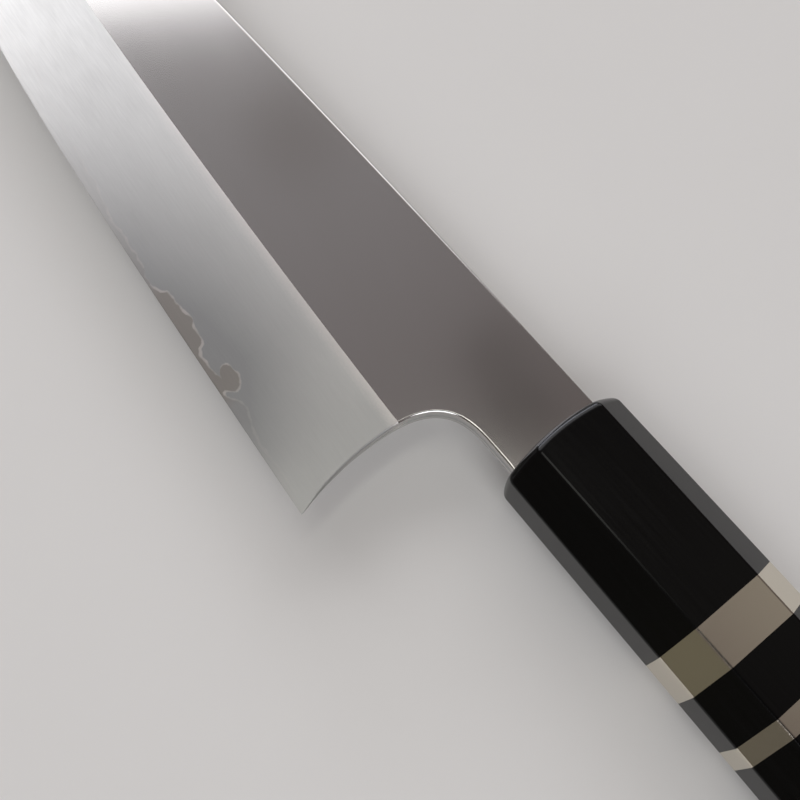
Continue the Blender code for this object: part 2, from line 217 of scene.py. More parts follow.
# %% Outline curves
BLADE_LENGTH = 210.0
HEEL_X = TIP_X + BLADE_LENGTH
SPINE_HEIGHT = 8.64
SPINE_DROP = 6.8
SPINE_POWER = 2.25
EDGE_SLOPE = 0.067
BELLY_POWER = 3.64
RIDGE_SHARE_HEEL = 0.433
RIDGE_SHARE_TIP = 0.62
RIDGE_POWER = 1.77
THROAT_X = -15.75
THROAT_RISE = 15.1
THROAT_Y = HEEL_Y + THROAT_RISE
NECK_BOTTOM_Y = SPINE_HEIGHT - 17.3
NECK_STRAIGHT = 3.8
HEEL_SWEEP_POWER = 1.85
THROAT_FULLNESS = 2.9
TIP_Y = SPINE_HEIGHT - SPINE_DROP


def blade_run(x):
    """0 at the heel, 1 at the tip."""
    return np.clip((HEEL_X - x) / BLADE_LENGTH, 0.0, 1.0)


def spine_y(x):
    return SPINE_HEIGHT - SPINE_DROP * np.maximum(x / TIP_X, 0.0) ** SPINE_POWER


def edge_y(x):
    straight = EDGE_SLOPE * BLADE_LENGTH
    run = blade_run(x)
    return HEEL_Y + straight * run + (TIP_Y - HEEL_Y - straight) * run**BELLY_POWER


def ridge_y(x):
    share = mix(RIDGE_SHARE_HEEL, RIDGE_SHARE_TIP, blade_run(x) ** RIDGE_POWER)
    return mix(edge_y(x), spine_y(x), share)


def choil_x(y):
    """The choil sweeps back from the heel to the throat, and then rounds forward into the neck."""
    if y < THROAT_Y:
        return mix(THROAT_X, HEEL_X, ((THROAT_Y - y) / THROAT_RISE) ** HEEL_SWEEP_POWER)
    upwards = min((y - THROAT_Y) / (NECK_BOTTOM_Y - THROAT_Y), 1.0)
    return mix(-NECK_STRAIGHT, THROAT_X, (1 - upwards**THROAT_FULLNESS) ** (1 / THROAT_FULLNESS))


print(f"heel height {spine_y(HEEL_X) - HEEL_Y:.1f} mm")
print(f"bevel {ridge_y(THROAT_X) - edge_y(THROAT_X):.1f} mm high at the throat")

# %% [markdown]
# A wide bevel knife is thickest at the spine. Its flat is a true plane, which is why it can be
# polished to a mirror on a flat stone, and the whole blade thins towards the tip. Below the ridge
# the bevel runs down to a thin shoulder behind the edge, with a very slight crown, and a narrow
# sharpened strip finishes it.

# %% Thickness
HALF_THICK_NECK = 1.6
HALF_THICK_TIP = 0.45
FLAT_TAPER = 0.002
TANG_THINNING = 0.35
TANG_LENGTH = 88.0
BEVEL_CROWN = 0.05
HALF_THICK_SHOULDER = 0.06
SHARPENED_HEIGHT = 0.22
TIP_GRIND = 7.0
LEAST_HEIGHT = 1e-6


def tip_grind(x):
    """The last millimetres are ground to a point."""
    return np.sqrt(np.clip((x - TIP_X) / TIP_GRIND, 0.0, 1.0))


def flat_half(x, y):
    blade = mix(HALF_THICK_NECK, HALF_THICK_TIP, np.minimum(x, 0.0) / TIP_X) * tip_grind(x)
    tang = 1.0 - TANG_THINNING * np.maximum(x, 0.0) / TANG_LENGTH
    return blade * tang - FLAT_TAPER * (SPINE_HEIGHT - y) * tip_grind(x)


def bevel_half(x, y):
    height = np.maximum(ridge_y(x) - edge_y(x), LEAST_HEIGHT)
    share = (y - edge_y(x)) / height
    crown = BEVEL_CROWN * 4 * share * (1 - share) * tip_grind(x)
    return mix(HALF_THICK_SHOULDER * tip_grind(x), flat_half(x, ridge_y(x)), share) + crown


def sharpened_half(x, y):
    """The strip that the last stone leaves along the edge."""
    rise = (y - edge_y(x)) / SHARPENED_HEIGHT
    return bevel_half(x, edge_y(x) + SHARPENED_HEIGHT) * np.clip(rise, 0.0, 1.0)


SURFACES = {"flat": flat_half, "bevel": bevel_half, "sharpened": sharpened_half}


def zone_of(x, y):
    """Which of the three ground surfaces a place on the blade's side belongs to."""
    if y > ridge_y(x) or x > HEEL_X:
        return "flat"
    if y - edge_y(x) < SHARPENED_HEIGHT:
        return "sharpened"
    return "bevel"


def zone_half(zones, x, y):
    result = np.zeros_like(x)
    for zone, surface in SURFACES.items():
        chosen = zones == zone
        result[chosen] = surface(x[chosen], y[chosen])
    return result


for place, x in (("neck", -1.0), ("middle", TIP_X / 2), ("tip", TIP_X + TIP_GRIND)):
    print(f"spine at the {place}: {2 * flat_half(x, spine_y(x)):.1f} mm thick")

# %% [markdown]
# ## The outline as points
#
# The outline is one closed loop: along the edge from tip to heel, up the choil, round the throat,
# under the neck, round the hidden tang and back along the spine. Each point also has an easing
# radius. The maker rounds the spine, the choil and the neck so that they don't bite into the
# fingers, and leaves the edge sharp.

# %% Outline points
SPINE_EASE = 0.5
CHOIL_EASE = 0.42
NECK_EASE = 0.42
EASE_START = 5.0
TIP_EASE_END = 14.0
TIP_EASE_START = 45.0
NECK_SEAT = 3.5
SHOULDER_RUN = 1.8
TANG_FRONT_HEIGHT = 8.8
TANG_END_HEIGHT = 4.4
NECK_STEP = 0.5
SPINE_STEP = 1.0
EDGE_POINTS = 220
EDGE_CROWDING = 1.15
CHOIL_POINTS = 46
THROAT_POINTS = 34


def spine_ease(x):
    towards_tip = np.clip((x - TIP_X - TIP_EASE_END) / (TIP_EASE_START - TIP_EASE_END), 0.0, 1.0)
    inside_handle = np.clip(1.0 - x / NECK_SEAT, 0.0, 1.0)
    return SPINE_EASE * towards_tip * inside_handle


def outline():
    """The outline's x, y and easing radius, and the index of the ridge's end on the choil."""
    rows = []
    edge_x = mix(TIP_X, HEEL_X, np.linspace(0.0, 1.0, EDGE_POINTS) ** EDGE_CROWDING)
    rows += [(x, edge_y(x), 0.0) for x in edge_x]
    for share in np.linspace(0.0, 1.0, CHOIL_POINTS)[1:]:
        x = choil_x(mix(HEEL_Y, ridge_y(THROAT_X), share))
        y = mix(edge_y(x), ridge_y(x), share)
        rows.append((x, y, CHOIL_EASE * min((y - HEEL_Y) / EASE_START, 1.0)))
    ridge_end = len(rows) - 1
    ridge_share = (rows[-1][1] - THROAT_Y) / (NECK_BOTTOM_Y - THROAT_Y)
    first_angle = math.asin(ridge_share ** (THROAT_FULLNESS / 2))
    for angle in np.linspace(first_angle, math.pi / 2, THROAT_POINTS)[1:]:
        y = mix(THROAT_Y, NECK_BOTTOM_Y, math.sin(angle) ** (2 / THROAT_FULLNESS))
        rows.append((choil_x(y), y, mix(CHOIL_EASE, NECK_EASE, angle / (math.pi / 2))))
    for x in np.arange(-NECK_STRAIGHT + NECK_STEP, NECK_SEAT, NECK_STEP):
        rows.append((x, NECK_BOTTOM_Y, NECK_EASE * min(1.0, 1.0 - x / NECK_SEAT)))
    tang = ((NECK_SEAT + SHOULDER_RUN, TANG_FRONT_HEIGHT / 2), (TANG_LENGTH, TANG_END_HEIGHT / 2))
    rows.append((NECK_SEAT, NECK_BOTTOM_Y, 0.0))
    rows += [(x, -y, 0.0) for x, y in tang]
    rows += [(x, y, 0.0) for x, y in reversed(tang)]
    for x in np.arange(NECK_SEAT, TIP_X + SPINE_STEP, -SPINE_STEP):
        rows.append((x, spine_y(x), spine_ease(x)))
    return np.array(rows), ridge_end


def outward(points):
    """The outline's outward direction at each point."""
    along = np.roll(points, -1, axis=0) - np.roll(points, 1, axis=0)
    across = np.stack([along[:, 1], -along[:, 0]], axis=1)
    return across / np.linalg.norm(across, axis=1, keepdims=True)


OUTLINE, RIDGE_END = outline()
OUTWARD = outward(OUTLINE[:, :2])
print(f"outline of {len(OUTLINE)} points")

# %% [markdown]
# ## The wavy line of the weld
#
# The blade is forged from three layers. Where the bevel is ground through the soft cladding, the
# hard core comes out along the edge, and the border between them is a wavy light line. It hugs
# the edge, climbs in low hills, and makes one round eye a little way ahead of the heel. The
# points are places along it: the distance from the heel and the height above the edge. Past the
# part that the photograph shows, the line goes on in low waves to the tip.

# %% Wavy line
LEFT_LINE = (
    (3.0, 0.9), (7.0, 1.1), (11.0, 0.8), (14.5, 1.0), (16.3, 1.3), (17.4, 1.75), (18.7, 2.2),
    (20.0, 2.05), (21.1, 1.6), (22.0, 0.75), (22.9, 0.55), (23.4, 1.0), (22.9, 1.5), (22.3, 2.2),
    (22.4, 2.9), (23.1, 3.65), (24.3, 4.0), (25.4, 3.9), (26.6, 3.7), (27.3, 3.0), (27.0, 2.2),
    (26.3, 1.75), (25.6, 1.45), (26.4, 1.2), (27.3, 1.15), (28.2, 0.85), (29.3, 1.0), (30.6, 0.85),
    (31.5, 1.05), (31.9, 1.3), (32.1, 1.9), (32.6, 2.25), (34.2, 2.4), (35.8, 2.6), (37.4, 3.0),
    (38.6, 2.5), (40.5, 2.4), (42.0, 2.25), (43.0, 2.2), (43.5, 2.0), (44.0, 1.3), (44.8, 0.8),
    (46.2, 0.5), (48.2, 0.5), (49.3, 0.9), (51.0, 1.0), (52.6, 1.2), (54.4, 0.95), (56.2, 1.2),
    (58.0, 1.05), (60.0, 0.8), (62.5, 1.2), (66.0, 1.6), (68.6, 2.1), (71.0, 1.8), (75.0, 2.3),
    (79.0, 2.1), (84.4, 3.1), (88.0, 2.5), (92.0, 3.3), (97.0, 4.0), (102.0, 3.4), (104.0, 2.7),
    (107.0, 1.9), (112.0, 1.6),
)
LINE_STEP = 0.25
LINE_START_HEIGHT = 0.9
LINE_MOST_SHARE = 0.45
WAVE_STEP = 1.5
WAVES_START = 3.0
WAVES_GAP = 4.0
WAVES_HEIGHT = 1.9
WAVES_SWING = 0.55
RIPPLE_SWING = 0.25
WAVE_LENGTHS = (5.1, 2.3, 0.9)
WIGGLE = 0.045
WIGGLE_LENGTHS = (0.27, 0.41, 0.9)


def wave_height(run, shift):
    """The low waves of the stretch that the photograph doesn't show."""
    long, short, ripple = (run / length for length in WAVE_LENGTHS)
    waves = math.sin(long + shift) + 0.6 * math.sin(short + 2 * shift)
    return WAVES_HEIGHT + WAVES_SWING * waves + RIPPLE_SWING * math.sin(ripple)


def smooth_curve(points, step):
    """A smooth curve through the points, with about one step between its samples."""
    points = np.array(points)
    padded = np.vstack([2 * points[0] - points[1], points, 2 * points[-1] - points[-2]])
    samples = []
    for index in range(1, len(padded) - 2):
        before, start, end, after = padded[index - 1 : index + 3]
        count = max(2, int(np.linalg.norm(end - start) / step))
        for t in np.arange(count) / count:
            samples.append(0.5 * (
                2 * start + (end - before) * t + (2 * before - 5 * start + 4 * end - after) * t**2
                + (3 * start - before - 3 * end + after) * t**3
            ))
    return np.array(samples)


def weld_line(known, shift):
    """The border's points from the heel to the tip, in knife coordinates."""
    points = list(known)
    first = points[-1][0] + WAVES_GAP if points else WAVES_START
    runs = np.arange(first, BLADE_LENGTH - 1.0, WAVE_STEP)
    points += [(run, wave_height(run, shift)) for run in runs]
    curve = smooth_curve(points, LINE_STEP)
    steps = np.arange(len(curve)) * LINE_STEP
    fine, middle, coarse = (steps / length for length in WIGGLE_LENGTHS)
    curve[:, 1] += WIGGLE * (np.sin(fine + shift) + np.sin(middle) + np.sin(coarse))
    x = HEEL_X - curve[:, 0]
    height = np.minimum(curve[:, 1], LINE_MOST_SHARE * (ridge_y(x) - edge_y(x)))
    return np.stack([x, edge_y(x) + height], axis=1)


LEFT_WELD = weld_line(LEFT_LINE, 0.4)
RIGHT_WELD = weld_line((), 2.1)
print(f"weld line: {len(LEFT_WELD)} points on the left side, {len(RIGHT_WELD)} on the right")

# %% [markdown]
# ## The polisher's haze and painted shade
#
# The two steels differ most in the stretch behind the eye, and the polisher's haze evens them out
# towards the heel and the tip. So each point of the blade also gets a share of that contrast. Two
# more values follow. One is painted shade: how light the haze is painted under the ridge, and how
# much darker towards the edge, partly the stones' own tone and mostly the shade of what the bevel
# mirrors. The other says how strong the light border under the ridge is, which fades towards the
# tip. That border is partly stone marks and partly a painted highlight.

# %% Haze and painted shade along the blade
CONTRAST_RUNS = (0.0, 12.0, 20.5, 23.0, 44.0, 47.0, 60.0, 80.0)
CONTRAST_SHARES = (0.02, 0.05, 0.16, 1.0, 1.0, 0.45, 0.2, 0.03)
HAZE_SHADE_RUNS = (0.0, 6.0, 12.0, 18.0, 26.0, 36.0, 44.0, 54.0, 66.0, 84.0, 105.0)
HAZE_SHADE_TOPS = (0.45, 0.52, 0.77, 0.8, 0.77, 0.76, 0.8, 0.81, 0.8, 0.79, 0.78)
HAZE_SHADE_DROPS = (-0.04, 0.06, 0.5, 0.68, 0.84, 0.76, 0.66, 0.5, 0.24, 0.0, -0.2)
HAZE_SHADE_DEPTH = 15.0
HAZE_SHADE_DEEPEST = 1.2
BORDER_RUNS = (0.0, 50.0, 72.0, 90.0)
BORDER_SHARES = (1.0, 0.8, 0.45, 0.0)


# The haze value is painted shade: lighter under the ridge, darker towards the edge and the heel.
def polish_values(x, y):
    """The contrast of the steels, the haze's painted shade and the ridge border, each from 0 to 1."""
    run = HEEL_X - x
    depth = np.clip((ridge_y(x) - y) / HAZE_SHADE_DEPTH, 0.0, HAZE_SHADE_DEEPEST)
    return {
        "steel_contrast": np.interp(run, CONTRAST_RUNS, CONTRAST_SHARES),
        "haze_painted_shade": np.interp(run, HAZE_SHADE_RUNS, HAZE_SHADE_TOPS) - np.interp(run, HAZE_SHADE_RUNS, HAZE_SHADE_DROPS) * depth,
        "ridge_border": np.interp(run, BORDER_RUNS, BORDER_SHARES),
    }


for run in (10.0, 30.0, 90.0):
    x = HEEL_X - run
    print(f"haze {run:.0f} mm from the heel: {polish_values(x, ridge_y(x))['haze_painted_shade']:.2f} at the ridge")

# %% [markdown]
# ## One side of the blade as a triangle mesh
#
# A side has curves that must not be blurred: the outline, the ridge line, and the weld line. A
# constrained triangulation takes such curves as fixed edges and fills in the rest. We give it
# points that are dense where something happens and sparse on the open flat. Along the eased
# borders, each outline point gets a short row of points that follows the rounding.

# %% Plan of one side
EASE_STEPS = 5
EASE_SUPPORT = 0.3
LEAST_EASE = 0.03
RIDGE_POINTS = 170
RIDGE_CLEARANCE = 0.6
WELD_CLEARANCE = 0.3
RIDGE_ROWS = (-0.9, -0.5, -0.25, 0.25, 0.6)
ROW_STEP = 1.2
ROWS_START_GAP = 1.6
ROWS_END_GAP = 20.0
GRIDS = ((0.25, 0.12, 0.8), (0.8, 0.8, 2.6), (3.0, 2.6, math.inf))
GRID_CROWDING = 0.45
GRID_END_X = 3.0
EDGE_CLEARANCE = 0.3
SPINE_CLEARANCE = 0.7
MERGE_DISTANCE = 1e-6


class Plan:
    """The triangulated plan of one side, with what each of its points needs later."""

    def __init__(self, weld):
        self.places = []
        self.turns = []
        self.outline_index = []
        self.fixed_edges = []
        self.columns = {}
        self.weld = weld
        self.add_outline()
        self.add_ease_columns()
        self.add_ridge()
        self.weld_indices = self.add_weld()
        self.add_support_rows()
        self.scatter()
        self.triangulate()

    def add(self, x, y, turn=math.pi / 2, source=-1):
        """Adds a point. turn says how far round the eased border it lies, and source where."""
        self.places.append((float(x), float(y)))
        self.turns.append(turn)
        self.outline_index.append(source)
        return len(self.places) - 1

    def join(self, indices):
        self.fixed_edges += list(zip(indices[:-1], indices[1:]))

    def add_outline(self):
        for index, (x, y, ease) in enumerate(OUTLINE):
            self.add(x, y, 0.0 if ease > LEAST_EASE else math.pi / 2, index)
        count = len(OUTLINE)
        self.outline = list(range(count))
        self.join(self.outline + [0])

    def add_ease_columns(self):
        for index, (x, y, ease) in enumerate(OUTLINE):
            if ease <= LEAST_EASE:
                continue
            column = []
            for step in range(1, EASE_STEPS + 1):
                turn = step / EASE_STEPS * math.pi / 2
                depth = ease * (1 - math.cos(turn))
                place = (x, y) - OUTWARD[index] * depth
                column.append(self.add(*place, turn, index))
            place = (x, y) - OUTWARD[index] * (ease + EASE_SUPPORT)
            column.append(self.add(*place))
            self.columns[index] = column

    def add_ridge(self):
        column = [RIDGE_END] + self.columns[RIDGE_END]
        start = self.places[column[-1]][0] - RIDGE_CLEARANCE
        xs = np.linspace(start, TIP_X, RIDGE_POINTS)[:-1]
        self.join(column + [self.add(x, ridge_y(x)) for x in xs] + [0])

    def add_weld(self):
        heights = OUTLINE[:RIDGE_END, 1] - HEEL_Y
        first = next(i for i in range(EDGE_POINTS, RIDGE_END) if heights[i] >= LINE_START_HEIGHT)
        column = [first] + self.columns[first]
        clear = self.places[column[-1]][0] - WELD_CLEARANCE
        line = column + [self.add(x, y) for x, y in self.weld if x < clear] + [0]
        self.join(line)
        return line

    def add_support_rows(self):
        """Rows beside the ridge, and the top of the sharpened strip."""
        for x in np.arange(THROAT_X - ROWS_START_GAP, TIP_X + ROWS_END_GAP, -ROW_STEP):
            for away in RIDGE_ROWS:
                self.add(x, ridge_y(x) + away)
        for x in OUTLINE[3 : EDGE_POINTS - 2, 0]:
            self.add(x, edge_y(x) + SHARPENED_HEIGHT)

    def scatter(self):
        """Open grids: fine beside the weld line, then coarser. Each keeps clear of earlier points."""
        weld_tree = tree_of(self.weld)
        for spacing, nearest, farthest in GRIDS:
            taken = tree_of(self.places)
            columns = np.arange(TIP_X + 1.0, GRID_END_X, spacing)
            x, y = np.meshgrid(columns, np.arange(HEEL_Y, SPINE_HEIGHT, spacing))
            x, y = x.ravel(), y.ravel()
            roughly = (y > edge_y(x) + EDGE_CLEARANCE) & (y < spine_y(x) - SPINE_CLEARANCE)
            x, y = x[roughly], y[roughly]
            inside = inside_outline(x, y)
            for px, py in zip(x[inside], y[inside]):
                gap = weld_tree.find((px, py, 0.0))[2]
                room = taken.find((px, py, 0.0))[2]
                if nearest <= gap < farthest and room > GRID_CROWDING * spacing:
                    self.add(px, py)

    def triangulate(self):
        loop = self.outline
        bare = loop[: self.weld_indices[0] + 1] + self.weld_indices[1:-1]
        points = [Vector(p) for p in self.places]
        result = delaunay_2d_cdt(points, self.fixed_edges, [loop, bare], 1, MERGE_DISTANCE)
        places, _, triangles, point_sources, _, face_sources = result
        self.x = np.array([p.x for p in places])
        self.y = np.array([p.y for p in places])
        first = [sources[0] if sources else -1 for sources in point_sources]
        self.turn = np.array([self.turns[i] if i >= 0 else math.pi / 2 for i in first])
        self.source = np.array([self.outline_index[i] if i >= 0 else -1 for i in first])
        self.on_outline = {i: new for new, i in enumerate(first) if 0 <= i < len(loop)}
        self.triangles = [t for t, s in zip(triangles, face_sources) if 0 in s]
        self.bare = [1 in s for s in face_sources if 0 in s]
        added = sum(1 for sources in point_sources if not sources)
        print(f"plan: {len(places)} points, {added} made by crossings, {len(self.triangles)} triangles")


def tree_of(places):
    tree = KDTree(len(places))
    for index, (x, y) in enumerate(places):
        tree.insert((x, y, 0.0), index)
    tree.balance()
    return tree


def inside_outline(x, y):
    """Counts how often a line to the right of each place crosses the outline."""
    inside = np.zeros(len(x), dtype=bool)
    points = OUTLINE[:, :2]
    for (x1, y1), (x2, y2) in zip(points, np.roll(points, -1, axis=0)):
        if y1 == y2:
            continue
        crosses = (y1 > y) != (y2 > y)
        inside ^= crosses & (x < x1 + (y - y1) / (y2 - y1) * (x2 - x1))
    return inside


LEFT_PLAN = Plan(LEFT_WELD)
RIGHT_PLAN = Plan(RIGHT_WELD)

# %% [markdown]
# ## Heights and shading of a side
#
# Every plan point now gets two heights above the middle of the blade: that of the ground and
# polished skin, and that of the weld under it. The weld meets the skin at the wavy line and lies
# deeper away from it. The shading direction comes from the surface's own slope, and turns
# outwards round an eased border.

# %% Heights and directions
CORE_SHARE = 0.3
WELD_SLOPE = 0.25
SLOPE_STEP = 0.01
STEEPEST = 0.3


class Side:
    """Heights, weld distances and shading directions for a plan. hand is 1 for the left side."""

    def __init__(self, plan, hand):
        self.plan = plan
        self.hand = hand
        x, y = plan.x, plan.y
        zones = np.array([zone_of(a, b) for a, b in zip(x, y)])
        surface = zone_half(zones, x, y)
        ease = np.where(plan.source >= 0, OUTLINE[plan.source, 2], 0.0)
        self.skin = surface - ease * (1 - np.sin(plan.turn))
        self.skin[plan.on_outline[0]] = 0.0
        edge = (plan.source >= 0) & (plan.source < EDGE_POINTS) & (plan.turn == math.pi / 2)
        self.skin[edge] = 0.0
        tree = tree_of(plan.weld)
        self.line_gap = np.array([tree.find((a, b, 0.0))[2] for a, b in zip(x, y)])
        depth = np.minimum(self.line_gap * WELD_SLOPE, (1 - CORE_SHARE) * surface)
        self.weld = np.minimum(surface - depth, self.skin)
        for index in plan.weld_indices:
            self.line_gap[index] = 0.0
            self.weld[index] = self.skin[index]
        self.ridge_gap = y - ridge_y(x)
        self.directions = {zone: self.slope_directions(surface) for zone, surface in SURFACES.items()}

    def slope_directions(self, surface):
        x, y = self.plan.x, self.plan.y
        along = (surface(x + SLOPE_STEP, y) - surface(x - SLOPE_STEP, y)) / (2 * SLOPE_STEP)
        across = (surface(x, y + SLOPE_STEP) - surface(x, y - SLOPE_STEP)) / (2 * SLOPE_STEP)
        along = np.clip(along, -STEEPEST, STEEPEST)
        upright = np.stack([-along, -across, np.ones_like(along)], axis=1)
        upright /= np.linalg.norm(upright, axis=1, keepdims=True)
        turn = self.plan.turn[:, None]
        out = np.zeros_like(upright)
        eased = self.plan.source >= 0
        out[eased, :2] = OUTWARD[self.plan.source[eased]]
        result = np.cos(turn) * out + np.sin(turn) * upright
        result[:, 2] *= self.hand
        return result

    def zone(self, triangle):
        x = sum(self.plan.x[i] for i in triangle) / 3
        y = sum(self.plan.y[i] for i in triangle) / 3
        return zone_of(x, y)

    def point(self, index, heights):
        return self.plan.x[index], self.plan.y[index], self.hand * heights[index]


LEFT = Side(LEFT_PLAN, 1)
RIGHT = Side(RIGHT_PLAN, -1)
print(f"skin {LEFT.skin.min():.3f} to {LEFT.skin.max():.3f} mm from the middle")

# %% [markdown]
# ## Colours, nodes and finishes
#
# Colours are picked as sRGB hex values, as on a screen, and one function turns them into the
# linear numbers that shaders expect. One small function adds a shader node, sets its values, and
# links its inputs. A Mix node of colours takes its share on input 0 and the two colours on inputs
# 6 and 7, and gives the result on output 2.
#
# Grain, sanding and stone marks are all noise that is drawn out in one direction, and most of its
# values lie between 0.3 and 0.7. Many of the knife's finishes need no more than that: one noise
# varies their colour, their gloss, and a relief that is far less than 0.02 millimetres deep.

# %% Colour and node helpers
NOISE_LOW = 0.3
NOISE_HIGH = 0.7
NOISE_ROUGHNESS = 0.6
RELIEF_MM = 0.02


def colour(hex_text):
    """A hex colour as linear numbers, by the curve that screens use."""
    parts = [int(hex_text[i : i + 2], 16) / 255 for i in (1, 3, 5)]
    linear = [p / 12.92 if p <= 0.04045 else ((p + 0.055) / 1.055) ** 2.4 for p in parts]
    return (*linear, 1.0)


def add_node(tree, kind, inputs=None, **settings):
    """Adds a node. inputs maps a socket's name or number to a value, or to another node's output."""
    made = tree.nodes.new(kind)
    for name, value in settings.items():
        setattr(made, name, value)
    for name, value in (inputs or {}).items():
        if isinstance(value, bpy.types.NodeSocket):
            tree.links.new(value, made.inputs[name])
        else:
            made.inputs[name].default_value = value
    return made


def new_material(name, **values):
    """A Principled material. Values are set on the shader's own sockets."""
    material = bpy.data.materials.new(name)
    material.use_nodes = True
    tree = material.node_tree
    shader = tree.nodes["Principled BSDF"]
    for socket, value in values.items():
        shader.inputs[socket.replace("_", " ")].default_value = value
    return material, tree, shader


def streak_noise(tree, along_mm, across_mm, turn_degrees, detail):
    """Noise drawn out in one direction, from the real length and width of its streaks."""
    place = add_node(tree, "ShaderNodeTexCoord")
    turned = add_node(tree, "ShaderNodeMapping", {
        "Vector": place.outputs["Object"],
        "Rotation": (0.0, 0.0, math.radians(turn_degrees)),
    })
    scaled = add_node(tree, "ShaderNodeMapping", {
        "Vector": turned.outputs["Vector"],
        "Scale": (1 / (along_mm * MM), 1 / (across_mm * MM), 1 / (along_mm * MM)),
    })
    return add_node(tree, "ShaderNodeTexNoise", {
        "Vector": scaled.outputs["Vector"], "Scale": 1.0, "Detail": detail, "Roughness": NOISE_ROUGHNESS,
    }).outputs["Fac"]


def follow_grain(tree, shader, grain, gloss, relief):
    """Lets the roughness run between two values with the grain, and the surface rise with it."""
    roughness = add_node(tree, "ShaderNodeMapRange", {
        "Value": grain, "From Min": NOISE_LOW, "From Max": NOISE_HIGH,
        "To Min": gloss[0], "To Max": gloss[1],
    })
    tree.links.new(roughness.outputs["Result"], shader.inputs["Roughness"])
    if relief:
        bump = add_node(tree, "ShaderNodeBump", {
            "Height": grain, "Strength": relief, "Distance": RELIEF_MM * MM,
        })
        tree.links.new(bump.outputs["Normal"], shader.inputs["Normal"])


def grained_finish(name, streaks, dark, light, gloss=None, relief=0.0, **values):
    """A material whose colour follows one drawn-out noise, and its gloss and relief if given."""
    material, tree, shader = new_material(name, **values)
    grain = streak_noise(tree, *streaks)
    tone = add_node(tree, "ShaderNodeMix", {
        0: grain, 6: colour(dark), 7: colour(light),
    }, data_type="RGBA")
    tree.links.new(tone.outputs[2], shader.inputs["Base Color"])
    if gloss:
        follow_grain(tree, shader, grain, gloss, relief)
    return material


# %% [markdown]
# ## The steels
#
# The cladding is soft stainless steel. Above the ridge it is polished on fine stones and buffed
# until it mirrors the room, which needs a very low roughness. Below the ridge it is rubbed with
# finger stones along the blade, which leaves a soft haze with faint lengthwise streaks. The real
# scratches are a few thousandths of a millimetre wide, too fine to show, so they are drawn 0.3
# millimetres wide.
#
# The hard core takes the same stones with a slightly darker and warmer haze. Along the weld line
# both steels turn lighter, because carbon has moved between them there. That light line swells
# and thins, and is brighter in some places than in others.
#
# Right under the ridge lie a broad light border that fades into the haze, and a narrow speckled
# rim. They are partly the marks of stones riding up on the corner and partly a painted highlight of
# the softened ridge. All three light lines are drawn alike: by their distance from a curve, with
# some noise added to it so that their edge is ragged.

# %% Steel materials
# The two ends of the haze's painted shade, for the cladding and for the core
HAZE_PAINTED_LIT = "#dbdbd9"
HAZE_PAINTED_SHADED = "#a3a4a5"
CORE_PAINTED_LIT = "#bbb6b2"
CORE_PAINTED_SHADED = "#9c9894"
STREAK_DARK = "#787878"
STREAK_SHARE = 0.15
STREAK_SHARES_ALONG = (1.3, 0.5)
STONE_GLOSS = (0.365, 0.395)
STONE_RELIEF = 0.05
WELD_FAINTNESS = 0.5
# Length and width of the streaks, clouds, specks and patches in millimetres, their turn in
# degrees, and the detail of their noise
STONE_MARKS = ((5.0, 0.3, 4.0, 3.0), (12.0, 6.0, 4.0, 2.0), (0.55, 0.4, 4.0, 3.0), (2.5, 2.5, 0.0, 2.0))


